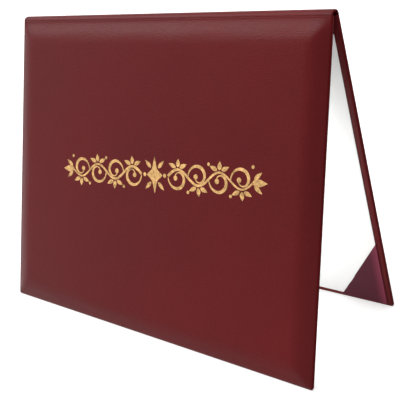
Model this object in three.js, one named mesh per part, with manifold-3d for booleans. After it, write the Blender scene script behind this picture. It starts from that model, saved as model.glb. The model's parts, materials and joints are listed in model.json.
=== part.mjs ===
// A padded diploma cover: two padded panels joined by one soft fold, stood on their bottom edges as a tent.
// Millimetres, +Z up. X runs along the fold, the front cover faces -Y and the table is z = 0.
import * as THREE from "three";
import { mergeVertices } from "three/addons/utils/BufferGeometryUtils.js";
import Module from "manifold-3d";

const wasm = await Module();
wasm.setup();

// The whole cover.
const coverWidth = 298; // along the fold
const coverLength = 238; // from the fold's axis down to a cover's bottom edge
const tentAngle = 28; // degrees between the two inner faces

// Sheet and board thicknesses, counted outwards from the inside of a cover.
const pocketThickness = 0.3; // satin, folded over the liner's corners
const linerThickness = 0.4; // white lining card
const skinThickness = 0.4; // leatherette
const boardThickness = 1.8; // greyboard
const padThickness = 4; // foam under the leatherette
const layerGap = 0.2; // glue line left between two layers
const innerOffset = 0.3; // from the fold's axis to the pockets, so that the covers shut flat

// The padded face.
const bevelRun = 12; // width of the sloping border round the flat face
const shoulderRadius = 14; // where the slope meets the flat face
const edgeRadius = 1.3; // leatherette round the board's outer edge
const innerEdgeRadius = 0.9; // leatherette round the board's inner edge
const cornerRadius = 2.5; // corners of a cover, seen from the front
const foldLand = 2; // flat strip between the fold and the padding

// The inside.
const turnIn = 15; // leatherette folded over the board's edge
const linerSideMargin = 4.6; // leatherette seen beside the liner
const linerBottomMargin = 3.4; // leatherette seen under the liner
const linerTopMargin = 8; // from the fold's axis to the liner
const boardTopMargin = 3.2; // from the fold's axis to the board
const jointReach = 2.2; // from the fold's axis to where the inner hinge strip leaves the inside
const pocketWidth = 37; // along a cover's bottom edge
const pocketHeight = 56; // up a cover's side
const hingeLeg = 22; // how far the inner hinge strip runs down each board

// Every level is a distance outwards from the plane through the fold's axis.
const pocketIn = innerOffset;
const linerIn = pocketIn + pocketThickness + layerGap;
const linerOut = linerIn + linerThickness;
const skinIn = linerOut + layerGap;
const boardIn = skinIn + skinThickness + layerGap;
const boardOut = boardIn + boardThickness;
const padIn = boardOut + layerGap;
const rimOut = padIn + skinThickness;
const faceOut = padIn + padThickness + layerGap + skinThickness;

const lean = THREE.MathUtils.degToRad(tentAngle / 2);
const slope = Math.atan((faceOut - rimOut) / bevelRun);
// The rounded inner edge of the leatherette is what touches the table.
const foldHeight =
  (coverLength - innerEdgeRadius) * Math.cos(lean) -
  (skinIn + innerEdgeRadius) * Math.sin(lean) +
  innerEdgeRadius;

// A closed outline through the given corners, each [x, y] or [x, y, radius].
function outline(corners, stepDegrees = 12) {
  const points = [];
  corners.forEach(([x, y, radius = 0], i) => {
    const here = new THREE.Vector2(x, y);
    const before = new THREE.Vector2(...corners.at(i - 1).slice(0, 2));
    const after = new THREE.Vector2(...corners[(i + 1) % corners.length].slice(0, 2));
    if (radius <= 0) {
      points.push(here);
      return;
    }
    const back = before.sub(here).normalize();
    const on = after.sub(here).normalize();
    const half = Math.acos(THREE.MathUtils.clamp(back.dot(on), -1, 1)) / 2;
    const centre = back.clone().add(on).normalize().multiplyScalar(radius / Math.sin(half)).add(here);
    const start = back.multiplyScalar(radius / Math.tan(half)).add(here).sub(centre);
    const end = on.multiplyScalar(radius / Math.tan(half)).add(here).sub(centre);
    const turn = Math.atan2(start.cross(end), start.dot(end));
    const steps = Math.max(2, Math.ceil(Math.abs(THREE.MathUtils.radToDeg(turn)) / stepDegrees));
    for (let k = 0; k <= steps; k += 1) {
      const angle = (turn * k) / steps;
      points.push(start.clone().rotateAround(new THREE.Vector2(), angle).add(centre));
    }
  });
  return new THREE.Shape(points);
}

function solid(geometry) {
  geometry.deleteAttribute("normal");
  geometry.deleteAttribute("uv");
  const merged = mergeVertices(geometry, 1e-4);
  return new wasm.Manifold(
    new wasm.Mesh({
      numProp: 3,
      vertProperties: merged.attributes.position.array,
      triVerts: new Uint32Array(merged.index.array),
    }),
  );
}

function geometryOf(shape) {
  const mesh = shape.getMesh();
  const indexed = new THREE.BufferGeometry();
  indexed.setAttribute("position", new THREE.BufferAttribute(mesh.vertProperties, 3));
  indexed.setIndex(new THREE.BufferAttribute(mesh.triVerts, 1));
  const flat = indexed.toNonIndexed();
  flat.computeVertexNormals();
  return flat;
}

const alongX = new THREE.Vector3(1, 0, 0);
const alongY = new THREE.Vector3(0, 1, 0);
const alongZ = new THREE.Vector3(0, 0, 1);

// A (y, z) outline swept along X, centred on x = 0.
function sweepAcross(shape, width) {
  const geometry = new THREE.ExtrudeGeometry(shape, { depth: width, bevelEnabled: false });
  geometry.applyMatrix4(new THREE.Matrix4().makeBasis(alongY, alongZ, alongX));
  geometry.translate(-width / 2, 0, 0);
  return geometry;
}

// An (x, y) outline swept down from z = top to z = bottom.
function sweepDown(shape, top, bottom) {
  const geometry = new THREE.ExtrudeGeometry(shape, { depth: top - bottom, bevelEnabled: false });
  geometry.translate(0, 0, bottom);
  return geometry;
}

// An (x, z) outline as a plate between two levels.
function plate(shape, from, to) {
  const geometry = new THREE.ExtrudeGeometry(shape, { depth: to - from, bevelEnabled: false });
  geometry.applyMatrix4(new THREE.Matrix4().makeBasis(alongX, alongZ, alongY.clone().negate()));
  geometry.translate(0, to, 0);
  return geometry;
}

function rectangle(left, right, bottom, top, lowerRadius = 0, upperRadius = 0) {
  return outline([
    [left, bottom, lowerRadius],
    [right, bottom, lowerRadius],
    [right, top, upperRadius],
    [left, top, upperRadius],
  ]);
}

// The padded panel shape, sunk by `inset` below the leatherette's outer surface and open-ended at the fold.
// Two swept outlines meet in it, so that the sloping borders mitre at the corners.
function padded(inset, floor, foldEnd) {
  const face = faceOut - inset;
  const half = coverWidth / 2 - inset;
  const end = coverLength - inset;
  const rim = rimOut - (inset * (1 - Math.sin(slope))) / Math.cos(slope);
  const landLevel = rimOut - inset;
  const landEnd = foldLand + inset * Math.tan(slope / 2);
  const shoulder = Math.max(0, shoulderRadius - inset);
  const run = (face - rim) / Math.tan(slope);
  const landRun = (face - landLevel) / Math.tan(slope);
  const outer = Math.max(0, edgeRadius - inset);
  const inner = Math.max(0, innerEdgeRadius - inset);

  const across = outline([
    [-half, floor, inner],
    [-half, rim, outer],
    [-half + run, face, shoulder],
    [half - run, face, shoulder],
    [half, rim, outer],
    [half, floor, inner],
  ]);
  const down = outline([
    [floor, -foldEnd],
    [landLevel, -foldEnd],
    [landLevel, -landEnd],
    [face, -landEnd - landRun, shoulder],
    [face, -end + run, shoulder],
    [rim, -end, outer],
    [floor, -end, inner],
  ]);
  const corners = rectangle(-half, half, -end, 10, Math.max(0.5, cornerRadius - inset));
  return solid(sweepDown(across, 10, -coverLength - 10))
    .intersect(solid(sweepAcross(down, coverWidth + 20)))
    .intersect(solid(plate(corners, -10, faceOut + 10)));
}

// Leatherette over the padding, round the board's edges and turned in on the three free sides.
function skin() {
  const window = rectangle(
    -coverWidth / 2 + turnIn,
    coverWidth / 2 - turnIn,
    -coverLength + turnIn,
    10,
  );
  return padded(0, skinIn, layerGap)
    .subtract(padded(skinThickness, skinIn + skinThickness, -5))
    .subtract(solid(plate(window, -5, boardIn)));
}

function board() {
  const clear = skinThickness + layerGap;
  const half = coverWidth / 2 - clear;
  const shape = rectangle(-half, half, -coverLength + clear, -boardTopMargin, cornerRadius - clear);
  return plate(shape, boardIn, boardOut);
}

function pad() {
  const clear = skinThickness + layerGap;
  const room = rectangle(-coverWidth, coverWidth, -coverLength, -boardTopMargin);
  return padded(clear, boardIn, -5).intersect(solid(plate(room, padIn, faceOut)));
}

const linerHalf = coverWidth / 2 - linerSideMargin;
const linerBottom = -coverLength + linerBottomMargin;
const linerTop = -linerTopMargin;

function liner() {
  return plate(rectangle(-linerHalf, linerHalf, linerBottom, linerTop), linerIn, linerOut);
}

// A satin triangle over a lower corner of the liner, with its two lips folded round the liner's edges.
function cornerPocket(side) {
  const reach = pocketThickness + layerGap;
  const x = side * (linerHalf + reach);
  const z = linerBottom - reach;
  const triangle = new THREE.Shape([
    new THREE.Vector2(x, z),
    new THREE.Vector2(x - side * (pocketWidth + reach), z),
    new THREE.Vector2(x, z + pocketHeight + reach),
  ]);
  const room = rectangle(
    -linerHalf - layerGap,
    linerHalf + layerGap,
    linerBottom - layerGap,
    linerTop + layerGap,
  );
  return solid(plate(triangle, pocketIn, linerOut)).subtract(
    solid(plate(room, pocketIn + pocketThickness, linerOut + 5)),
  );
}

// One face of a sheet over the fold: up a leg of [distance from the fold, level] points, round the
// fold's axis at a radius, and down the other leg.
function foldFace(radius, leg) {
  const steps = 12;
  const place = (side, distance, level) => new THREE.Vector2(
    side * (distance * Math.sin(lean) + level * Math.cos(lean)),
    level * Math.sin(lean) - distance * Math.cos(lean),
  );
  const arc = Array.from({ length: steps + 1 }, (_, k) => {
    const angle = lean + ((Math.PI - 2 * lean) * k) / steps;
    return new THREE.Vector2(Math.cos(angle), Math.sin(angle)).multiplyScalar(radius);
  });
  const rising = leg.map(([distance, level]) => place(1, distance, level));
  const falling = leg.map(([distance, level]) => place(-1, distance, level)).reverse();
  return [...rising, ...arc, ...falling];
}

function foldSheet(innerRadius, outerRadius, width, innerLeg = [], outerLeg = []) {
  const points = [...foldFace(outerRadius, outerLeg), ...foldFace(innerRadius, innerLeg).reverse()];
  return sweepAcross(new THREE.Shape(points), width);
}

const stripOut = padIn - layerGap; // the inner hinge strip under the leatherette of the fold
const stripIn = stripOut - skinThickness;

// Leatherette over the fold, with its two ends turned in as they are along the covers' sides.
function spineSkin() {
  const betweenEnds = coverWidth - 2 * turnIn;
  const layers = solid(foldSheet(stripIn, padIn, coverWidth))
    .subtract(solid(foldSheet(stripIn - 1, padIn + 1, betweenEnds)))
    .subtract(solid(foldSheet(stripOut, padIn - 0.001, coverWidth - 2 * skinThickness)));
  return solid(foldSheet(padIn - 0.001, rimOut, coverWidth)).add(layers);
}

// A band of leatherette that dips into the joint between the boards and runs down inside both covers.
function innerHinge() {
  const level = skinIn + skinThickness;
  const width = coverWidth - 2 * (turnIn + layerGap);
  const innerLeg = [[hingeLeg, skinIn], [jointReach - skinThickness / 2, skinIn]];
  const outerLeg = [[hingeLeg, level], [jointReach, level]];
  return foldSheet(stripIn, stripOut, width, innerLeg, outerLeg);
}

const leatherette = { color: 0x5a1a1d, roughness: 0.5, metalness: 0 };
const greyboard = { color: 0x8d8a82, roughness: 0.9, metalness: 0 };
const foam = { color: 0xe9e6da, roughness: 0.95, metalness: 0 };
const liningCard = { color: 0xf6f5f2, roughness: 0.8, metalness: 0 };
const satin = { color: 0x6a3039, roughness: 0.35, metalness: 0 };

function piece(name, shape, look) {
  const geometry = shape.isBufferGeometry ? shape : geometryOf(shape);
  const mesh = new THREE.Mesh(geometry, new THREE.MeshStandardMaterial(look));
  mesh.name = name;
  return mesh;
}

// In a cover's own frame the fold is at the top, +Y points outwards and -Z runs down the cover.
function cover(label) {
  const group = new THREE.Group();
  group.name = `${label}_cover`;
  group.add(piece(`${label}_skin`, skin(), leatherette));
  group.add(piece(`${label}_board`, board(), greyboard));
  group.add(piece(`${label}_pad`, pad(), foam));
  group.add(piece(`${label}_liner`, liner(), liningCard));
  group.position.z = foldHeight;
  return group;
}

const frontCover = cover("front");
frontCover.rotation.set(-lean, 0, Math.PI);

const backCover = cover("back");
backCover.rotation.x = lean;
backCover.add(piece("pocket_left", cornerPocket(-1), satin));
backCover.add(piece("pocket_right", cornerPocket(1), satin));

const fold = new THREE.Group();
fold.name = "fold";
fold.position.z = foldHeight;
fold.add(piece("spine_skin", spineSkin(), leatherette));
fold.add(piece("inner_hinge", innerHinge(), leatherette));

const diplomaCover = new THREE.Group();
diplomaCover.name = "diploma_cover";
diplomaCover.add(frontCover, backCover, fold);

export default diplomaCover;
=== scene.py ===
"""Dresses a padded diploma cover that stands as a tent: leatherette, lining, satin corners and gold foil.

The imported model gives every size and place. Each cover's pieces are made flat, in that cover's own frame:
X runs across the cover as it is seen from outside, Y runs up to the fold, Z points outwards. One matrix
per cover then tilts them into the tent.
"""

import json
import random
from math import atan2, cos, pi, radians, sin, sqrt

import bmesh
import bpy
from mathutils import Matrix, Vector


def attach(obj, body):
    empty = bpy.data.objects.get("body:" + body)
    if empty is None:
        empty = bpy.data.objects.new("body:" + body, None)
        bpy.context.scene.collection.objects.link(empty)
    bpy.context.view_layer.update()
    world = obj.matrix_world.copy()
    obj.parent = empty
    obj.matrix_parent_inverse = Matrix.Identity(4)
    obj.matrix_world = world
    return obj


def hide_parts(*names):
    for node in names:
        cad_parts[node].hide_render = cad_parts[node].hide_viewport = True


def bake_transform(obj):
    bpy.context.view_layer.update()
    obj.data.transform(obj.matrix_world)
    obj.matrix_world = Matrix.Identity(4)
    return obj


bl_info = {
    "name": "Diploma Cover",
    "version": (1, 0, 0),
    "blender": (4, 5, 0),
    "location": "View3D > Sidebar > Cover",
    "description": "Dresses a padded diploma cover that stands as a tent",
    "category": "Object",
}

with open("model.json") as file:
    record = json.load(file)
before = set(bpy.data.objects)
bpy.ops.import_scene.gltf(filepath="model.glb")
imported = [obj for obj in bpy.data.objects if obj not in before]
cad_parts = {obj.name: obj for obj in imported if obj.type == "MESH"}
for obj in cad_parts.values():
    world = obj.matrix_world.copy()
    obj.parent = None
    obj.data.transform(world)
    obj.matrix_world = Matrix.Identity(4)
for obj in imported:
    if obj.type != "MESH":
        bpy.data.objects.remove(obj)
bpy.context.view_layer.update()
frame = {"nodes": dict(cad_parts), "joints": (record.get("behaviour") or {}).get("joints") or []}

FOLD = frame["joints"][0]
FOLD_POINT = Vector(FOLD["pos_m"])
LEAN = radians(-FOLD["range_deg"][0]) / 2
FRONT, BACK = -1, 1
BODY = {FRONT: "front_cover", BACK: "back_cover"}
LABEL = {FRONT: "front", BACK: "back"}


def cover_frame(side):
    """The matrix from a cover's flat frame to the row frame."""
    across = Vector((-side, 0, 0))
    up = Vector((0, -side * sin(LEAN), cos(LEAN)))
    outward = Vector((0, side * cos(LEAN), sin(LEAN)))
    turned = Matrix((across, up, outward)).transposed().to_4x4()
    return Matrix.Translation(FOLD_POINT) @ turned


def span(node, side):
    """Lowest and highest corner of a CAD node in its cover's flat frame."""
    back = cover_frame(side).inverted()
    points = [back @ v.co for v in frame["nodes"][node].data.vertices]
    low = Vector(min(p[i] for p in points) for i in range(3))
    high = Vector(max(p[i] for p in points) for i in range(3))
    return low, high


SKIN_LOW, SKIN_HIGH = span("back_skin", BACK)
BOARD_LOW, BOARD_HIGH = span("back_board", BACK)
PAD_LOW = span("back_pad", BACK)[0]
LINER_HIGH = span("back_liner", BACK)[1]

HALF = SKIN_HIGH.x  # from a cover's middle line to its side
LENGTH = -SKIN_LOW.y  # from the fold to a cover's lower edge
FACE = SKIN_HIGH.z  # level of the padded face
INSIDE = SKIN_LOW.z  # level of the turned-in margin
GLUE = PAD_LOW.z - BOARD_HIGH.z  # gap between two layers
SKIN = BOARD_LOW.z - GLUE - INSIDE  # thickness of the leatherette
RIM = PAD_LOW.z + SKIN  # level of the leatherette at the foot of the slope
UP = Vector((0, 0, 1))

FOLD_GAP = 0.0001  # left open between a cover's leatherette and the fold's
FACE_STEP = 0.018  # about the spacing of the mesh lines across a padded face
FIRM_EDGE = 0.004  # the face is even this near to an edge
FOOT_LINE = 0.0035  # a mesh line on the foot of the slope
# Where the leatherette rolls over the board's edge: distance from the edge, height over the rim.
EDGE_ROLL = [(0.0, -0.00045), (0.0005, -0.00005), (0.0014, 0.0005)]
# The lining card is cut a little short at both ends, and leatherette is seen there.
CARD_SHORT_BELOW = 0.0010
CARD_SHORT_ABOVE = 0.0045
CARD_ROUND = 0.00018
SATIN_THICKNESS = 0.00016
SATIN_RISE = 0.00014  # from the pocket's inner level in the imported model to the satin


class CoverSizes(bpy.types.PropertyGroup):
    bevel_run: bpy.props.FloatProperty(
        name="Border slope", description="Width of the padding's sloping border", default=0.012, unit="LENGTH"
    )
    fold_land: bpy.props.FloatProperty(
        name="Fold land", description="Flat strip between the fold and the padding", default=0.002, unit="LENGTH"
    )
    turn_in: bpy.props.FloatProperty(
        name="Turn-in", description="Leatherette folded over the board's edge", default=0.015, unit="LENGTH"
    )
    corner: bpy.props.FloatProperty(
        name="Corner", description="Radius of a cover's lower corners", default=0.0017, unit="LENGTH"
    )
    joint: bpy.props.FloatProperty(
        name="Joint", description="How far down each cover the inner strip dips into the joint", default=0.0022,
        unit="LENGTH"
    )
    unevenness: bpy.props.FloatProperty(
        name="Unevenness", description="How far the foam's surface wanders", default=0.00012, unit="LENGTH"
    )
    grain: bpy.props.FloatProperty(
        name="Grain", description="Size of one pebble of the leatherette's grain", default=0.0009, unit="LENGTH"
    )
    satin_thread: bpy.props.FloatProperty(
        name="Satin thread", description="Spacing of the satin's threads", default=0.0003, unit="LENGTH"
    )
    foil: bpy.props.FloatProperty(
        name="Foil", description="How far the gold foil stands proud", default=0.00008, unit="LENGTH"
    )


def colour(name, description, default):
    """A colour that a user can change."""
    return bpy.props.FloatVectorProperty(
        name=name, description=description, default=default, subtype="COLOR", min=0, max=1
    )


class CoverColours(bpy.types.PropertyGroup):
    leatherette: colour("Leatherette", "Deep maroon of the covers", (0.108, 0.0060, 0.0074))
    satin: colour("Satin", "Maroon satin of the corner pockets", (0.088, 0.014, 0.026))
    lining: colour("Lining", "White of the lining", (0.88, 0.88, 0.87))
    gold: colour("Gold", "Stamped foil", (0.455, 0.272, 0.110))
    greyboard: colour("Greyboard", "Pressed board inside a cover", (0.27, 0.26, 0.23))
    foam: colour("Foam", "Padding", (0.80, 0.77, 0.68))
    floor: colour("Floor", "Table and backdrop", (0.80, 0.80, 0.80))


def shader(name):
    """A new node material, its tree and its Principled BSDF."""
    material = bpy.data.materials.new(name)
    material.use_nodes = True
    return material, material.node_tree, material.node_tree.nodes["Principled BSDF"]


def add(tree, kind, inputs=None, **settings):
    """A new node with its settings and plain input values."""
    node = tree.nodes.new(kind)
    for key, value in settings.items():
        setattr(node, key, value)
    for key, value in (inputs or {}).items():
        node.inputs[key].default_value = value
    return node


def join(tree, source, target):
    """Links an output socket to an input socket."""
    tree.links.new(source, target)


def new_group(name, inputs, outputs):
    """A node group with (name, socket type, default) inputs and (name, socket type) outputs."""
    group = bpy.data.node_groups.new(name, "ShaderNodeTree")
    for socket, kind, default in inputs:
        made = group.interface.new_socket(socket, in_out="INPUT", socket_type=kind)
        made.default_value = default
    for socket, kind in outputs:
        group.interface.new_socket(socket, in_out="OUTPUT", socket_type=kind)
    return group, group.nodes.new("NodeGroupInput"), group.nodes.new("NodeGroupOutput")


def noise(tree, vector, scale, detail=3, roughness=0.55):
    """A noise factor over the given coordinates."""
    node = add(tree, "ShaderNodeTexNoise", {"Scale": scale, "Detail": detail, "Roughness": roughness})
    join(tree, vector, node.inputs["Vector"])
    return node.outputs["Fac"]


def remap(tree, value, low, high, to_low, to_high):
    """Maps a value from one range to another."""
    node = add(
        tree,
        "ShaderNodeMapRange",
        {"From Min": low, "From Max": high, "To Min": to_low, "To Max": to_high},
    )
    join(tree, value, node.inputs["Value"])
    return node.outputs["Result"]


def group_node(tree, group, vector, **values):
    """Places a node group in a material, with its own values."""
    node = tree.nodes.new("ShaderNodeGroup")
    node.node_tree = group
    join(tree, vector, node.inputs["Vector"])
    for key, value in values.items():
        node.inputs[key.replace("_", " ")].default_value = value
    return node


def tone_group():
    """Slow and fine mottling: a factor round 1 for colour, and another for roughness."""
    name = "surface tone"
    if name in bpy.data.node_groups:
        return bpy.data.node_groups[name]
    tree, given, out = new_group(
        name,
        [
            ("Vector", "NodeSocketVector", (0, 0, 0)),
            ("Patch Scale", "NodeSocketFloat", 14.0),
            ("Speck Scale", "NodeSocketFloat", 700.0),
            ("Depth", "NodeSocketFloat", 0.1),
        ],
        [("Tone", "NodeSocketFloat"), ("Gloss", "NodeSocketFloat")],
    )
    patch = add(tree, "ShaderNodeTexNoise", {"Detail": 4.0, "Roughness": 0.55})
    speck = add(tree, "ShaderNodeTexNoise", {"Detail": 2.0, "Roughness": 0.6})
    for texture, scale in ((patch, "Patch Scale"), (speck, "Speck Scale")):
        join(tree, given.outputs["Vector"], texture.inputs["Vector"])
        join(tree, given.outputs[scale], texture.inputs["Scale"])
    both = add(tree, "ShaderNodeMath", operation="ADD")
    join(tree, patch.outputs["Fac"], both.inputs[0])
    join(tree, speck.outputs["Fac"], both.inputs[1])
    centred = add(tree, "ShaderNodeMath", {1: 1.0}, operation="SUBTRACT")
    join(tree, both.outputs[0], centred.inputs[0])
    scaled = add(tree, "ShaderNodeMath", operation="MULTIPLY")
    join(tree, centred.outputs[0], scaled.inputs[0])
    join(tree, given.outputs["Depth"], scaled.inputs[1])
    tone = add(tree, "ShaderNodeMath", {1: 1.0}, operation="ADD")
    join(tree, scaled.outputs[0], tone.inputs[0])
    join(tree, tone.outputs[0], out.inputs["Tone"])
    join(tree, remap(tree, patch.outputs["Fac"], 0.3, 0.7, -0.5, 0.5), out.inputs["Gloss"])
    return tree


def toned_colour(tree, base, tone):
    """The base colour times a tone that varies over the surface."""
    mix = add(tree, "ShaderNodeVectorMath", {0: tuple(base)}, operation="SCALE")
    join(tree, tone, mix.inputs["Scale"])
    return mix.outputs["Vector"]


def distance_aside(tree, place):
    """Distance from the cover's middle line."""
    apart = tree.nodes.new("ShaderNodeSeparateXYZ")
    join(tree, place, apart.inputs[0])
    aside = add(tree, "ShaderNodeMath", operation="ABSOLUTE")
    join(tree, apart.outputs["X"], aside.inputs[0])
    return aside.outputs[0]


def toward_sides(tree, aside, tone, near, far, factor_near, factor_far):
    """The tone times a factor that changes with the distance from the cover's middle line."""
    product = add(tree, "ShaderNodeMath", operation="MULTIPLY")
    join(tree, tone, product.inputs[0])
    join(tree, remap(tree, aside, near, far, factor_near, factor_far), product.inputs[1])
    return product.outputs[0]


def varied_roughness(tree, gloss, middle, swing):
    """A roughness that swings about its middle with the gloss."""
    return remap(tree, gloss, -0.5, 0.5, middle - swing, middle + swing)


def bump(tree, height, distance, strength=1.0, after=None):
    """A normal from a height, laid over another normal where one is given."""
    node = add(tree, "ShaderNodeBump", {"Strength": strength, "Distance": distance})
    join(tree, height, node.inputs["Height"])
    if after is not None:
        join(tree, after, node.inputs["Normal"])
    return node.outputs["Normal"]


def object_coordinates(tree):
    """The coordinates that every pattern is drawn on."""
    return tree.nodes.new("ShaderNodeTexCoord").outputs["Object"]


def leatherette(scene):
    """Maroon leatherette: a fine pebbled grain, faint mottling and a satin shine."""
    name = "grained_leatherette"
    if name in bpy.data.materials:
        return bpy.data.materials[name]
    sizes, colours = scene.cover_sizes, scene.cover_colours
    material, tree, surface = shader(name)
    place = object_coordinates(tree)
    wander = noise(tree, place, 0.35 / sizes.grain, 2)
    warp = add(tree, "ShaderNodeMixRGB", {"Fac": 0.0006})
    join(tree, place, warp.inputs["Color1"])
    join(tree, wander, warp.inputs["Color2"])
    pebbles = add(
        tree,
        "ShaderNodeTexVoronoi",
        {"Scale": 1 / sizes.grain, "Smoothness": 0.35, "Randomness": 0.9},
        feature="SMOOTH_F1",
    )
    join(tree, warp.outputs["Color"], pebbles.inputs["Vector"])
    pebble = remap(tree, pebbles.outputs["Distance"], 0.0, 0.75, 1.0, 0.0)
    pores = noise(tree, place, 3.2 / sizes.grain, 2, 0.6)
    tone = group_node(tree, tone_group(), place, Patch_Scale=11.0, Speck_Scale=900.0, Depth=0.38)
    # Painted shade: the leatherette's colour is darkened down the padding's side slopes, toward the covers' sides,
    # as if they caught less light.
    aside = distance_aside(tree, place)
    shade = toward_sides(tree, aside, tone.outputs["Tone"], HALF - 0.017, HALF - 0.004, 1.0, 0.82)
    join(tree, toned_colour(tree, colours.leatherette, shade), surface.inputs["Base Color"])
    join(tree, varied_roughness(tree, tone.outputs["Gloss"], 0.38, 0.04), surface.inputs["Roughness"])
    fine = bump(tree, pores, 0.00003, 0.5)
    join(tree, bump(tree, pebble, 0.00010, 0.9, fine), surface.inputs["Normal"])
    # The covers' side edges are duller than their faces.
    shine = remap(tree, aside, HALF - 0.0012, HALF - 0.0002, 0.10, 0.01)
    join(tree, shine, surface.inputs["Specular IOR Level"])
    return material


def satin(scene):
    """Maroon satin: close threads along the ribbon, with a soft lengthwise shine."""
    sizes, colours = scene.cover_sizes, scene.cover_colours
    material, tree, surface = shader("threaded_satin")
    place = object_coordinates(tree)
    stretched = add(tree, "ShaderNodeMapping", {"Scale": (1.0, 12.0, 12.0)})
    join(tree, place, stretched.inputs["Vector"])
    threads = noise(tree, stretched.outputs["Vector"], 0.12 / sizes.satin_thread, 3, 0.6)
    tone = group_node(tree, tone_group(), place, Patch_Scale=45.0, Speck_Scale=1400.0, Depth=0.3)
    # Painted highlight: the satin's colour is lightened up to twice toward the lining's side edge, where the satin
    # is drawn over it.
    edge = LINER_HIGH.x
    aside = distance_aside(tree, place)
    shine = toward_sides(tree, aside, tone.outputs["Tone"], edge - 0.0065, edge - 0.0005, 0.85, 2.0)
    join(tree, toned_colour(tree, colours.satin, shine), surface.inputs["Base Color"])
    join(tree, varied_roughness(tree, tone.outputs["Gloss"], 0.38, 0.04), surface.inputs["Roughness"])
    join(tree, bump(tree, threads, 0.00006, 0.6), surface.inputs["Normal"])
    surface.inputs["Specular IOR Level"].default_value = 0.08
    surface.inputs["Sheen Weight"].default_value = 0.01
    surface.inputs["Sheen Roughness"].default_value = 0.35
    surface.inputs["Anisotropic"].default_value = 0.5
    return material


def lining(scene):
    """White lining paper with a fine woven emboss."""
    material, tree, surface = shader("embossed_lining")
    place = object_coordinates(tree)
    weave = noise(tree, place, 1500.0, 2, 0.7)
    tone = group_node(tree, tone_group(), place, Patch_Scale=8.0, Speck_Scale=500.0, Depth=0.03)
    join(tree, toned_colour(tree, scene.cover_colours.lining, tone.outputs["Tone"]), surface.inputs["Base Color"])
    join(tree, varied_roughness(tree, tone.outputs["Gloss"], 0.72, 0.04), surface.inputs["Roughness"])
    join(tree, bump(tree, weave, 0.00004, 0.5), surface.inputs["Normal"])
    return material


def gold_foil(scene):
    """Stamped gold foil that follows the grain under it."""
    material, tree, surface = shader("gold_foil")
    place = object_coordinates(tree)
    grain = noise(tree, place, 0.9 / scene.cover_sizes.grain, 2, 0.6)
    # Partly the foil's own uneven tone, partly painted reflection: the deep random light and dark patches in its
    # colour stand in for bright and dark reflections.
    tone = group_node(tree, tone_group(), place, Patch_Scale=240.0, Speck_Scale=520.0, Depth=1.6)
    join(tree, toned_colour(tree, scene.cover_colours.gold, tone.outputs["Tone"]), surface.inputs["Base Color"])
    join(tree, varied_roughness(tree, tone.outputs["Gloss"], 0.36, 0.05), surface.inputs["Roughness"])
    join(tree, bump(tree, grain, 0.00006, 0.6), surface.inputs["Normal"])
    surface.inputs["Metallic"].default_value = 1.0
    return material


def plain_fibre(name, base, roughness, scale, height):
    """Greyboard or foam, which the leatherette hides."""
    material, tree, surface = shader(name)
    place = object_coordinates(tree)
    fibres = noise(tree, place, scale, 4, 0.65)
    tone = group_node(tree, tone_group(), place, Patch_Scale=40.0, Speck_Scale=scale, Depth=0.25)
    join(tree, toned_colour(tree, base, tone.outputs["Tone"]), surface.inputs["Base Color"])
    join(tree, varied_roughness(tree, tone.outputs["Gloss"], roughness, 0.04), surface.inputs["Roughness"])
    join(tree, bump(tree, fibres, height, 0.6), surface.inputs["Normal"])
    return material


def finish_piece(bm, name, material, smooth=True):
    """Writes the bmesh to a new linked object at the origin."""
    mesh = bpy.data.meshes.new(name)
    bm.to_mesh(mesh)
    bm.free()
    mesh.materials.append(material)
    for face in mesh.polygons:
        face.use_smooth = smooth
    piece = bpy.data.objects.new(name, mesh)
    bpy.context.scene.collection.objects.link(piece)
    return piece


def apply_modifiers(piece):
    """Bakes the piece's modifiers into its mesh."""
    bpy.context.view_layer.update()
    graph = bpy.context.evaluated_depsgraph_get()
    mesh = bpy.data.meshes.new_from_object(piece.evaluated_get(graph), depsgraph=graph)
    old = piece.data
    piece.modifiers.clear()
    piece.data = mesh
    mesh.name = piece.name
    bpy.data.meshes.remove(old)


def add_subsurf(piece, levels=2):
    """Rounds the mesh between its lines and keeps the corners of open edges."""
    made = piece.modifiers.new("round", "SUBSURF")
    made.levels = made.render_levels = levels
    made.boundary_smooth = "PRESERVE_CORNERS"


def add_wall(piece, thickness):
    """Gives the sheet its thickness, inwards from the face that is seen."""
    made = piece.modifiers.new("wall", "SOLIDIFY")
    made.thickness = thickness
    made.offset = -1
    made.use_even_offset = False


def extrude_rim(bm, edges):
    """Extrudes open edges, and gives the new vertices and the new open edges."""
    made = bmesh.ops.extrude_edge_only(bm, edges=edges)["geom"]
    fresh = [g for g in made if isinstance(g, bmesh.types.BMVert)]
    rim = [g for g in made if isinstance(g, bmesh.types.BMEdge) and all(v in fresh for v in g.verts)]
    return fresh, rim


def turn_faces(bm, seen, direction):
    """Turns all faces the same way, so that the seen one looks in the direction."""
    bmesh.ops.recalc_face_normals(bm, faces=bm.faces[:])
    if seen.normal.dot(direction) < 0:
        bmesh.ops.reverse_faces(bm, faces=bm.faces[:])


def cut_lines(bm, axis, places):
    """Cuts the flat mesh along lines at these places on an axis."""
    for place in places:
        point = Vector((0, 0, 0))
        point[axis] = place
        normal = Vector((0, 0, 0))
        normal[axis] = 1
        geometry = bm.verts[:] + bm.edges[:] + bm.faces[:]
        bmesh.ops.bisect_plane(bm, geom=geometry, dist=1e-7, plane_co=point, plane_no=normal)


def between(low, high, step):
    """Evenly spaced places strictly between two ends, about a step apart."""
    count = max(1, round((high - low) / step))
    return [low + (high - low) * i / count for i in range(1, count)]


def flat_sheet(bm, low, high):
    """A one-face sheet in the XY plane between two corners."""
    made = bmesh.ops.create_grid(bm, x_segments=1, y_segments=1, size=0.5)
    middle = (Vector(low) + Vector(high)) / 2
    bmesh.ops.scale(bm, verts=made["verts"], vec=(high[0] - low[0], high[1] - low[1], 1))
    bmesh.ops.translate(bm, verts=made["verts"], vec=(middle.x, middle.y, 0))


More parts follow.
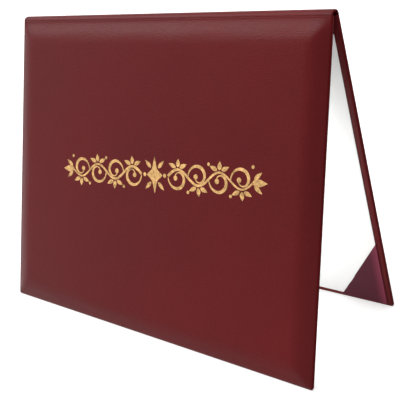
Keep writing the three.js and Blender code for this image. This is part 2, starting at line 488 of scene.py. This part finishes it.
def edge_lines(sizes):
    """Distances from a cover's edge where the leatherette changes direction."""
    run = sizes.bevel_run
    rolled = [distance for distance, height in EDGE_ROLL[1:]]
    return [*rolled, FOOT_LINE, run * 0.5, run * 0.75, run, run * 1.25, run * 1.5]


def slope_height(distance, sizes):
    """A straight slope up from the rim, then a soft shoulder that levels out on the face."""
    steepness = (FACE - RIM) / sizes.bevel_run
    shoulder = sizes.bevel_run * 0.5
    level_from = sizes.bevel_run * 1.5
    if distance <= shoulder:
        return RIM + steepness * max(0.0, distance)
    left = max(0.0, level_from - distance)
    return FACE - steepness * left**2 / (level_from - shoulder) / 2


def border_height(distance, sizes):
    """Height of the padded face at a distance from a cover's free edge."""
    for (near, low), (far, high) in zip(EDGE_ROLL, EDGE_ROLL[1:]):
        if distance <= far:
            return RIM + low + (high - low) * max(0.0, distance - near) / (far - near)
    return slope_height(distance, sizes)


def face_height(x, y, sizes):
    """Height of the padded face, which slopes down to the three free edges and to the fold's land."""
    aside = HALF - abs(x)
    below = LENGTH + y
    to_fold = slope_height(-y - sizes.fold_land, sizes)
    return min(border_height(aside, sizes), border_height(below, sizes), to_fold)


def round_corner(x, y, radius):
    """Bends the two lower corners of the flat sheet into quarter circles."""
    across = abs(x) - (HALF - radius)
    down = -y - (LENGTH - radius)
    if across <= 0 or down <= 0:
        return x, y
    bent_across = across * sqrt(1 - (down / radius) ** 2 / 2)
    bent_down = down * sqrt(1 - (across / radius) ** 2 / 2)
    return (HALF - radius + bent_across) * (1 if x > 0 else -1), -(LENGTH - radius + bent_down)


def pull_in(place, inset, zone):
    """Draws the border zone of a flat sheet in, so that its edge moves in by the inset."""
    share = (zone - inset) / zone
    x, y = place.x, place.y
    inner = HALF - zone
    if abs(x) > inner:
        x = (inner + (abs(x) - inner) * share) * (1 if x > 0 else -1)
    low = -LENGTH + zone
    if y < low:
        y = low + (y - low) * share
    return x, y


def wrap_cover(context, side):
    """One cover's leatherette: padded face, rounded edges and the turned-in margin."""
    sizes = context.scene.cover_sizes
    bm = bmesh.new()
    fold_end = -FOLD_GAP
    flat_sheet(bm, (-HALF, -LENGTH), (HALF, fold_end))
    lines = edge_lines(sizes)
    cut_lines(bm, 0, [s * (HALF - d) for d in lines for s in (-1, 1)])
    cut_lines(bm, 1, [-LENGTH + d for d in lines])
    cut_lines(bm, 1, [-sizes.fold_land, *(-sizes.fold_land - d for d in lines[3:])])
    inner = lines[-1]
    cut_lines(bm, 0, between(-HALF + inner, HALF - inner, FACE_STEP))
    cut_lines(bm, 1, between(-LENGTH + inner, -sizes.fold_land - inner, FACE_STEP))

    rng = random.Random(11 + side)
    for v in bm.verts:
        v.co.z = face_height(v.co.x, v.co.y, sizes)
        inside = min(HALF - abs(v.co.x), LENGTH + v.co.y, -v.co.y)
        wander = rng.uniform(-1, 1)
        if inside > FIRM_EDGE:
            v.co.z += wander * sizes.unevenness
    for v in bm.verts:
        v.co.x, v.co.y = round_corner(v.co.x, v.co.y, sizes.corner)

    # Down the board's edge, round it and back over the inside as the turned-in margin.
    past_margin = 0.006
    zone = sizes.turn_in + past_margin
    steps = [
        (0.0, RIM - 0.0011),
        (0.0, INSIDE + 0.0009),
        (0.0005, INSIDE + 0.0001),
        (0.0016, INSIDE),
        (0.0065, INSIDE),
        (sizes.turn_in, INSIDE),
    ]
    rim = [e for e in bm.edges if e.is_boundary and not all(v.co.y > fold_end - 1e-7 for v in e.verts)]
    flat = {v: v.co.copy() for e in rim for v in e.verts}
    for inset, level in steps:
        fresh, rim = extrude_rim(bm, rim)
        starts = {}
        for v in fresh:
            source = min(flat, key=lambda old: (old.co - v.co).length_squared)
            starts[v] = flat[source]
        for v, start in starts.items():
            v.co.x, v.co.y = pull_in(start, inset, zone)
            v.co.z = level
        flat = starts
    middle = min(bm.faces, key=lambda f: (f.calc_center_median() - Vector((0, -LENGTH / 2, FACE))).length)
    turn_faces(bm, middle, UP)
    bmesh.ops.transform(bm, matrix=cover_frame(side), verts=bm.verts[:])

    piece = finish_piece(bm, f"{LABEL[side]}_leatherette", leatherette(context.scene))
    add_subsurf(piece)
    add_wall(piece, SKIN)
    apply_modifiers(piece)
    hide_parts(f"{LABEL[side]}_skin")
    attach(piece, BODY[side])


class WrapCovers(bpy.types.Operator):
    """Lays leatherette over both padded covers"""

    bl_idname = "cover.wrap_covers"
    bl_label = "Wrap covers"

    def execute(self, context):
        for side in (FRONT, BACK):
            wrap_cover(context, side)
        return {"FINISHED"}


def bend_over_fold(bm, verts, steps):
    """Spins a row of vertices from the back cover's outward direction over to the front's."""
    edges = [e for e in bm.edges if all(v in verts for v in e.verts)]
    bmesh.ops.spin(
        bm,
        geom=list(verts) + edges,
        cent=FOLD_POINT,
        axis=(1, 0, 0),
        angle=pi - 2 * LEAN,
        steps=steps,
        use_duplicate=False,
        use_merge=False,
    )


def row_of_points(bm, points):
    """A chain of vertices through the given points."""
    chain = [bm.verts.new(points[0])]
    for point in points[1:]:
        made = bmesh.ops.extrude_vert_indiv(bm, verts=[chain[-1]])
        chain.append(made["verts"][0])
        chain[-1].co = point
    return chain


class WrapFold(bpy.types.Operator):
    """Bends the leatherette over the fold, from one cover to the other"""

    bl_idname = "cover.wrap_fold"
    bl_label = "Wrap fold"

    def execute(self, context):
        sizes = context.scene.cover_sizes
        lines = edge_lines(sizes)
        aside = [HALF - d for d in lines]
        middle = between(-HALF + lines[-1], HALF - lines[-1], FACE_STEP)
        # Each end of the fold is turned in under the wrap, as the covers' sides are.
        under = RIM - 2 * SKIN - GLUE
        turned_in = [
            (HALF, RIM - 0.00030),
            (HALF, under + 0.00025),
            (HALF - 0.0006, under),
            (HALF - 0.004, under),
            (HALF - sizes.turn_in, under),
        ]
        edge = [(x, min(RIM, border_height(HALF - x, sizes))) for x in aside]
        places = [(-x, z) for x, z in reversed(turned_in)]
        places += [(-x, z) for x, z in edge]
        places += [(x, RIM) for x in middle]
        places += reversed(edge)
        places += turned_in
        over = cover_frame(BACK)
        bm = bmesh.new()
        chain = row_of_points(bm, [over @ Vector((x, 0, z)) for x, z in places])
        bend_over_fold(bm, chain, steps=10)
        turn_faces(bm, max(bm.faces, key=lambda f: f.calc_center_median().z), UP)
        piece = finish_piece(bm, "fold_leatherette", leatherette(context.scene))
        add_subsurf(piece)
        add_wall(piece, SKIN)
        apply_modifiers(piece)
        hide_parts("spine_skin")
        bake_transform(piece)
        return {"FINISHED"}


class LineFold(bpy.types.Operator):
    """Lays the inner hinge strip down one board, over the joint and down the other"""

    bl_idname = "cover.line_fold"
    bl_label = "Line fold"

    def execute(self, context):
        low, high = span("inner_hinge", BACK)
        half = high.x
        leg = -low.y
        joint = context.scene.cover_sizes.joint
        # The strip is pressed up against the fold's leatherette and laid flat on the boards.
        pressed, laid = RIM - SKIN - GLUE, INSIDE + SKIN
        hem = 0.002
        rounds = [
            (joint * 0.35, pressed - (pressed - laid) * 0.12),
            (joint * 0.75, laid + (pressed - laid) * 0.12),
            (joint, laid),
            (joint + hem, laid),
            (leg - hem, laid),
            (leg, laid),
        ]
        bm = bmesh.new()
        places = [-half, -half + hem, *between(-half + hem, half - hem, 0.03), half - hem, half]
        rows = {}
        for side in (BACK, FRONT):
            over = cover_frame(side)
            chain = row_of_points(bm, [over @ Vector((x, 0, pressed)) for x in places])
            rows[side] = list(chain)
            edges = [e for e in bm.edges if all(v in chain for v in e.verts)]
            inverse = over.inverted()
            for down, level in rounds:
                fresh, edges = extrude_rim(bm, edges)
                for v in fresh:
                    flat = inverse @ v.co
                    v.co = over @ Vector((flat.x, -down, level))
        bend_over_fold(bm, rows[BACK], steps=8)
        bmesh.ops.remove_doubles(bm, verts=bm.verts[:], dist=1e-5)
        turn_faces(bm, max(bm.faces, key=lambda f: f.calc_center_median().z), UP)
        piece = finish_piece(bm, "inner_hinge_strip", leatherette(context.scene))
        add_subsurf(piece, 1)
        add_wall(piece, SKIN)
        apply_modifiers(piece)
        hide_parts("inner_hinge")
        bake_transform(piece)
        return {"FINISHED"}


class FillCovers(bpy.types.Operator):
    """Gives the boards and the foam inside the covers their materials"""

    bl_idname = "cover.fill_covers"
    bl_label = "Fill covers"

    def execute(self, context):
        colours = context.scene.cover_colours
        board = plain_fibre("fibrous_greyboard", colours.greyboard, 0.88, 900.0, 0.00005)
        foam = plain_fibre("open_foam", colours.foam, 0.95, 2600.0, 0.0001)
        for side in (FRONT, BACK):
            for part, material in (("board", board), ("pad", foam)):
                mesh = frame["nodes"][f"{LABEL[side]}_{part}"].data
                mesh.materials.clear()
                mesh.materials.append(material)
        return {"FINISHED"}


class LineCovers(bpy.types.Operator):
    """Lays the white lining inside each cover"""

    bl_idname = "cover.line_covers"
    bl_label = "Line covers"

    def execute(self, context):
        white = lining(context.scene)
        for side in (FRONT, BACK):
            low, high = span(f"{LABEL[side]}_liner", side)
            low.y += CARD_SHORT_BELOW
            high.y -= CARD_SHORT_ABOVE
            bm = bmesh.new()
            bmesh.ops.create_cube(bm, size=1.0)
            bmesh.ops.scale(bm, verts=bm.verts[:], vec=high - low)
            bmesh.ops.translate(bm, verts=bm.verts[:], vec=(low + high) / 2)
            bmesh.ops.bevel(
                bm, geom=bm.edges[:], offset=CARD_ROUND, segments=2, profile=0.5, affect="EDGES", material=-1
            )
            bmesh.ops.transform(bm, matrix=cover_frame(side), verts=bm.verts[:])
            piece = finish_piece(bm, f"{LABEL[side]}_lining", white, smooth=False)
            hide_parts(f"{LABEL[side]}_liner")
            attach(piece, BODY[side])
        return {"FINISHED"}


def corner_pocket(name, material):
    """One satin corner: a taut triangle with a rolled hem and two lips round the lining's edges."""
    low, high = span(name, BACK)
    right = 1 if (low + high).x > 0 else -1
    up = 1 if (low + high).y / 2 > -LENGTH / 2 else -1
    width, height = high.x - low.x, high.y - low.y
    corner = Vector((high.x if right > 0 else low.x, high.y if up > 0 else low.y, 0))
    face = low.z + SATIN_RISE
    bm = bmesh.new()
    flat_sheet(bm, (0, 0), (width, height))
    lip, near_edge, step = 0.0007, 0.0022, 0.004
    cut_lines(bm, 0, [lip, near_edge, *between(near_edge, width, step)])
    cut_lines(bm, 1, [lip, near_edge, *between(near_edge, height, step)])
    geometry = bm.verts[:] + bm.edges[:] + bm.faces[:]
    bmesh.ops.bisect_plane(
        bm,
        geom=geometry,
        dist=1e-6,
        plane_co=(width, 0, 0),
        plane_no=(height, width, 0),
        clear_outer=True,
    )
    bmesh.ops.dissolve_degenerate(bm, dist=2e-5, edges=bm.edges[:])

    def on_hem(v):
        return abs(v.co.x / width + v.co.y / height - 1) < 1e-4

    # Faint pulls fan out from the corner, and the satin dips a little toward the hem.
    rng = random.Random(sum(map(ord, name)))
    phase = rng.uniform(0, 2 * pi)
    pulls, held_flat = 9, 0.008
    for v in bm.verts:
        across, along = v.co.x / width, v.co.y / height
        off_edge = min(1.0, min(v.co.x, v.co.y) / held_flat)
        fan = atan2(along, across + 1e-6)
        pull = sin(fan * pulls + phase) * (across + along) * off_edge
        v.co.z = face - 0.00006 * pull - 0.00005 * (across + along) * off_edge
    hem = [e for e in bm.edges if e.is_boundary and all(on_hem(v) for v in e.verts)]
    sides = [e for e in bm.edges if e.is_boundary and e not in hem]
    inward = Vector((-height, -width, 0)).normalized()
    # The hem rolls over and runs back under the satin: distance inward, height over the satin's level.
    rolled_hem = ((-0.0003, 0.0001), (-0.0002, 0.0003), (0.0025, 0.00034), (0.005, 0.00033))
    for back, level in rolled_hem:
        fresh, hem = extrude_rim(bm, hem)
        for v in fresh:
            base = v.co.copy()
            t = base.x / width + base.y / height - 1
            slide = inward * (back + t * width * height / Vector((width, height)).length)
            v.co.x = max(0.0, base.x + slide.x)
            v.co.y = max(0.0, base.y + slide.y)
            v.co.z = face + level
    for level in (face + 0.0003, high.z - 0.0002, high.z):
        fresh, sides = extrude_rim(bm, sides)
        for v in fresh:
            v.co.z = level
    flip = Matrix.Diagonal((-right, -up, 1, 1))
    bmesh.ops.transform(bm, matrix=cover_frame(BACK) @ Matrix.Translation(corner) @ flip, verts=bm.verts[:])
    inside = (cover_frame(BACK).to_3x3() @ -UP).normalized()
    turn_faces(bm, max(bm.faces, key=lambda f: f.calc_area()), inside)
    area = sum(f.calc_area() for f in bm.faces)
    piece = finish_piece(bm, f"satin_{name}", material)
    add_subsurf(piece)
    add_wall(piece, SATIN_THICKNESS)
    apply_modifiers(piece)
    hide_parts(name)
    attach(piece, BODY[BACK])


class CornerPockets(bpy.types.Operator):
    """Stretches a satin pocket over each lower corner of the back lining"""

    bl_idname = "cover.corner_pockets"
    bl_label = "Corner pockets"

    def execute(self, context):
        material = satin(context.scene)
        for name in sorted(n for n in frame["nodes"] if n.startswith("pocket_")):
            corner_pocket(name, material)
        return {"FINISHED"}


def ribbon(path, widths):
    """A closed outline round a path, with a full width at each of its points."""
    left, right = [], []
    for i, point in enumerate(path):
        ahead = path[min(i + 1, len(path) - 1)] - path[max(i - 1, 0)]
        normal = Vector((-ahead.y, ahead.x)).normalized() * widths[i] / 2
        left.append(point + normal)
        right.append(point - normal)
    return left + right[::-1]


def disc(centre, radius):
    """A round dot's outline."""
    count = 24
    return [centre + Vector((cos(2 * pi * i / count), sin(2 * pi * i / count))) * radius for i in range(count)]


def curl(centre, size, way):
    """A swelling spiral that starts left of its centre and winds in to a small ball."""
    path, widths = [], []
    count = 36
    for i in range(count + 1):
        t = i / count
        angle = pi + way * 2 * pi * t
        path.append(centre + Vector((cos(angle), sin(angle))) * size * (1 - 0.76 * t))
        widths.append(size * (0.10 + 0.17 * sin(pi * min(1.0, t * 1.35)) ** 1.3))
    return [ribbon(path, widths), disc(path[-1], size * 0.20)]


def leaf(base, tip, width):
    """A pointed leaf between two points, fullest near its base."""
    path = [base.lerp(tip, i / 12) for i in range(13)]
    return ribbon(path, [max(0.00002, width * sin(pi * (i / 12) ** 0.75)) for i in range(13)])


def lozenge(centre, wide, high):
    """A four-pointed star with hollow sides."""
    tips = [Vector((wide, 0)), Vector((0, high)), Vector((-wide, 0)), Vector((0, -high))]
    points = []
    for tip, after in zip(tips, tips[1:] + tips[:1]):
        for i in range(8):
            t = i / 8
            hollow = 1 - 0.34 * sin(pi * t)
            points.append(centre + tip.lerp(after, t) * hollow)
    return points


def vine(start, end, waves, swing):
    """A waving stem with a curl in each hollow, three leaves on each crest and a bud at its end."""
    path, widths = [], []
    count = 32 * waves
    for i in range(count + 1):
        t = i / count
        path.append(Vector((start + (end - start) * t, swing * sin(2 * pi * waves * t))))
        widths.append(0.0021 * (1 - 0.4 * t))
    shapes = [ribbon(path, widths)]
    step = (end - start) / waves / 2
    for k in range(2 * waves):
        crest = 1 if k % 2 == 0 else -1
        x = start + (k + 0.5) * step
        shapes += curl(Vector((x, -crest * 0.001)), step * 0.49, crest)
        root = Vector((x, crest * (swing + 0.0016)))
        shapes.append(leaf(root, root + Vector((0.0006, crest * 0.0062)), 0.0036))
        for lean in (-1, 1):
            base = root + Vector((lean * 0.0018, -crest * 0.0002))
            shapes.append(leaf(base, base + Vector((lean * 0.0066, crest * 0.0028)), 0.0032))
        shapes.append(disc(Vector((x + step / 2, -crest * 0.0105)), 0.0012))
    bud = Vector((end + 0.0115, 0))
    shapes.append(leaf(Vector((end - 0.001, 0)), bud, 0.0052))
    for way in (-1, 1):
        shapes.append(leaf(Vector((end + 0.0008, way * 0.0022)), Vector((end + 0.0072, way * 0.0072)), 0.0030))
    return shapes


def ornament_outlines(length):
    """A hollow-sided star with a vine growing from it to each side."""
    shapes = [lozenge(Vector((0, 0)), 0.0078, 0.0138)]
    for way in (-1, 1):
        for across in (-1, 1):
            base, tip = Vector((across * 0.0034, way * 0.0052)), Vector((across * 0.0092, way * 0.0108))
            shapes.append(leaf(base, tip, 0.0030))
    for side in (-1, 1):
        shapes.append(disc(Vector((side * 0.0098, 0)), 0.0015))
        for outline in vine(0.0130, length / 2 - 0.0115, 2, 0.0052):
            turned = [Vector((side * p.x, p.y)) for p in outline]
            shapes.append(turned if side > 0 else turned[::-1])
    return shapes


class StampOrnament(bpy.types.Operator):
    """Stamps a gold scroll border on the front cover"""

    bl_idname = "cover.stamp_ornament"
    bl_label = "Stamp ornament"

    middle: bpy.props.FloatVectorProperty(
        name="Middle", description="Centre of the border, from the middle of the fold", size=2,
        default=(0.011, -0.114), unit="LENGTH"
    )
    length: bpy.props.FloatProperty(
        name="Length", description="Length of the border", default=0.199, unit="LENGTH"
    )
    tilt: bpy.props.FloatProperty(
        name="Tilt", description="How far the border's right end is turned up", default=radians(3.2),
        subtype="ANGLE"
    )

    def execute(self, context):
        scene = context.scene
        bm = bmesh.new()
        # Each shape stands a hair higher than the last, so that no two tops share a plane.
        for number, outline in enumerate(ornament_outlines(self.length)):
            proud = scene.cover_sizes.foil + 0.000002 * (number % 5)
            corners = row_of_points(bm, [Vector((p.x, p.y, 0)) for p in outline])
            ring = [bm.edges.get((a, b)) for a, b in zip(corners, corners[1:])]
            ring.append(bm.edges.new((corners[-1], corners[0])))
            filled = bmesh.ops.triangle_fill(bm, use_beauty=True, use_dissolve=False, edges=ring)["geom"]
            made = [g for g in filled if isinstance(g, bmesh.types.BMFace)]
            raised = bmesh.ops.extrude_face_region(bm, geom=made)["geom"]
            tops = [g for g in raised if isinstance(g, bmesh.types.BMVert)]
            bmesh.ops.translate(bm, verts=tops, vec=(0, 0, proud))
        bmesh.ops.recalc_face_normals(bm, faces=bm.faces[:])
        place = Matrix.Translation((self.middle[0], self.middle[1], FACE)) @ Matrix.Rotation(self.tilt, 4, "Z")
        bmesh.ops.transform(bm, matrix=cover_frame(FRONT) @ place, verts=bm.verts[:])
        piece = finish_piece(bm, "gold_border", gold_foil(scene), smooth=False)
        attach(piece, BODY[FRONT])
        return {"FINISHED"}


# The camera that took the photograph, fitted to the cover's corners and edges.
CAMERA_PLACE = Vector((0.3767, -0.4094, 0.2935))
CAMERA_YAW = radians(39.91)
CAMERA_PITCH = radians(16.15)
CAMERA_ROLL = radians(-6.73)
PHOTO_SIZE = 400
FOCAL_PIXELS = 747.1
CENTRE_PIXEL = (206.8, 141.5)


def aimed(yaw, pitch, roll):
    """A camera's rotation: yaw to the left of +Y, pitch down, then roll about the view."""
    forward = Vector((-sin(yaw) * cos(pitch), cos(yaw) * cos(pitch), -sin(pitch)))
    right = forward.cross(UP).normalized()
    up = right.cross(forward)
    tipped_right = right * cos(roll) + up * sin(roll)
    tipped_up = up * cos(roll) - right * sin(roll)
    return Matrix((tipped_right, tipped_up, -forward)).transposed().to_4x4()


def hang_lamp(lamp, place, target):
    """Links a lamp at a place, pointing at a target and hidden from the camera."""
    holder = bpy.data.objects.new(lamp.name, lamp)
    bpy.context.scene.collection.objects.link(holder)
    holder.visible_camera = False
    holder.location = place
    holder.rotation_mode = "QUATERNION"
    holder.rotation_quaternion = (Vector(target) - Vector(place)).to_track_quat("-Z", "Y")
    return holder


def soft_light(name, place, target, size, power):
    """A rectangular lamp near the cover."""
    lamp = bpy.data.lights.new(name, "AREA")
    lamp.shape = "RECTANGLE"
    lamp.size, lamp.size_y = size
    lamp.energy = power
    return hang_lamp(lamp, place, target)


def far_light(name, place, spread, strength):
    """A wide soft light so far away that it lights the whole floor evenly."""
    lamp = bpy.data.lights.new(name, "SUN")
    lamp.angle = radians(spread)
    lamp.energy = strength
    hang_lamp(lamp, place, (0, 0, 0.12))


def white_for_camera(tree, ordinary, white, out_socket):
    """Shows a white shader to the camera, mirrors and glass, and the ordinary one to everything else."""
    path = tree.nodes.new("ShaderNodeLightPath")
    most = path.outputs["Is Camera Ray"]
    for ray in ("Is Glossy Ray", "Is Transmission Ray"):
        node = add(tree, "ShaderNodeMath", operation="MAXIMUM")
        join(tree, most, node.inputs[0])
        join(tree, path.outputs[ray], node.inputs[1])
        most = node.outputs[0]
    mix = tree.nodes.new("ShaderNodeMixShader")
    join(tree, most, mix.inputs["Fac"])
    join(tree, ordinary, mix.inputs[1])
    join(tree, white, mix.inputs[2])
    join(tree, mix.outputs[0], out_socket)


class SetStage(bpy.types.Operator):
    """Sets the floor, the soft lights, the white surroundings and the camera"""

    bl_idname = "cover.set_stage"
    bl_label = "Set stage"

    def execute(self, context):
        scene = context.scene
        bm = bmesh.new()
        floor_reach = 6.0
        bmesh.ops.create_grid(bm, x_segments=8, y_segments=8, size=floor_reach)
        mesh = bpy.data.meshes.new("floor")
        bm.to_mesh(mesh)
        bm.free()
        floor = bpy.data.objects.new("floor", mesh)
        scene.collection.objects.link(floor)

        material, tree, surface = shader("floor")
        surface.inputs["Base Color"].default_value = (*scene.cover_colours.floor, 1)
        surface.inputs["Roughness"].default_value = 0.9
        surface.inputs["Specular IOR Level"].default_value = 0.0
        lift = add(tree, "ShaderNodeEmission", {"Color": (1, 1, 1, 1), "Strength": 0.45})
        both = tree.nodes.new("ShaderNodeAddShader")
        join(tree, surface.outputs[0], both.inputs[0])
        join(tree, lift.outputs[0], both.inputs[1])
        white_for_camera(tree, surface.outputs[0], both.outputs[0], tree.nodes["Material Output"].inputs["Surface"])
        mesh.materials.append(material)

        world = bpy.data.worlds.new("surroundings")
        world.use_nodes = True
        scene.world = world
        tree = world.node_tree
        ordinary = tree.nodes["Background"]
        ordinary.inputs["Color"].default_value = (1, 1, 1, 1)
        ordinary.inputs["Strength"].default_value = 0.21
        white = add(tree, "ShaderNodeBackground", {"Color": (1, 1, 1, 1), "Strength": 1.0})
        out = tree.nodes["World Output"].inputs["Surface"]
        white_for_camera(tree, ordinary.outputs[0], white.outputs[0], out)

        far_light("top_light", (0.0, 0.1, 2.0), 60, 1.9)
        far_light("side_light", (-1.16, -0.80, 1.52), 25, 2.0)
        far_light("low_light", (-1.32, -1.40, 0.70), 30, 0.3)
        # A lamp lies on the front lining and faces the back one. It turns with the front cover, so that it
        # lights neither the face of the closed cover nor its own lining when the cover is opened flat.
        over = cover_frame(FRONT)
        lies, faces = over @ Vector((0.08, -0.15, 0.0)), over @ Vector((0.08, -0.15, -0.1))
        inside = soft_light("inside_light", lies, faces, (0.07, 0.16), 0.10)
        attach(inside, BODY[FRONT])

        lens = bpy.data.cameras.new("camera")
        lens.sensor_width = 36.0
        lens.lens = FOCAL_PIXELS / PHOTO_SIZE * lens.sensor_width
        lens.shift_x = (PHOTO_SIZE / 2 - CENTRE_PIXEL[0]) / PHOTO_SIZE
        lens.shift_y = (CENTRE_PIXEL[1] - PHOTO_SIZE / 2) / PHOTO_SIZE
        lens.clip_start, lens.clip_end = 0.01, 30
        camera = bpy.data.objects.new("camera", lens)
        scene.collection.objects.link(camera)
        camera.matrix_world = Matrix.Translation(CAMERA_PLACE) @ aimed(CAMERA_YAW, CAMERA_PITCH, CAMERA_ROLL)
        scene.camera = camera
        scene.view_settings.view_transform = "Standard"
        return {"FINISHED"}


OPERATORS = (WrapCovers, WrapFold, LineFold, FillCovers, LineCovers, CornerPockets, StampOrnament, SetStage)


class CoverPanel(bpy.types.Panel):
    bl_idname = "VIEW3D_PT_diploma_cover"
    bl_label = "Diploma cover"
    bl_space_type = "VIEW_3D"
    bl_region_type = "UI"
    bl_category = "Cover"

    def draw(self, context):
        for group in (context.scene.cover_sizes, context.scene.cover_colours):
            for name in group.bl_rna.properties.keys():
                if name not in ("rna_type", "name"):
                    self.layout.prop(group, name)
        for operator in OPERATORS:
            self.layout.operator(operator.bl_idname)


CLASSES = (CoverSizes, CoverColours, *OPERATORS, CoverPanel)


def register():
    for made in CLASSES:
        bpy.utils.register_class(made)
    bpy.types.Scene.cover_sizes = bpy.props.PointerProperty(type=CoverSizes)
    bpy.types.Scene.cover_colours = bpy.props.PointerProperty(type=CoverColours)


def unregister():
    del bpy.types.Scene.cover_sizes
    del bpy.types.Scene.cover_colours
    for made in reversed(CLASSES):
        bpy.utils.unregister_class(made)


def main():
    register()
    for operator in OPERATORS:
        group, name = operator.bl_idname.split(".")
        getattr(getattr(bpy.ops, group), name)()


if __name__ == "__main__":
    main()
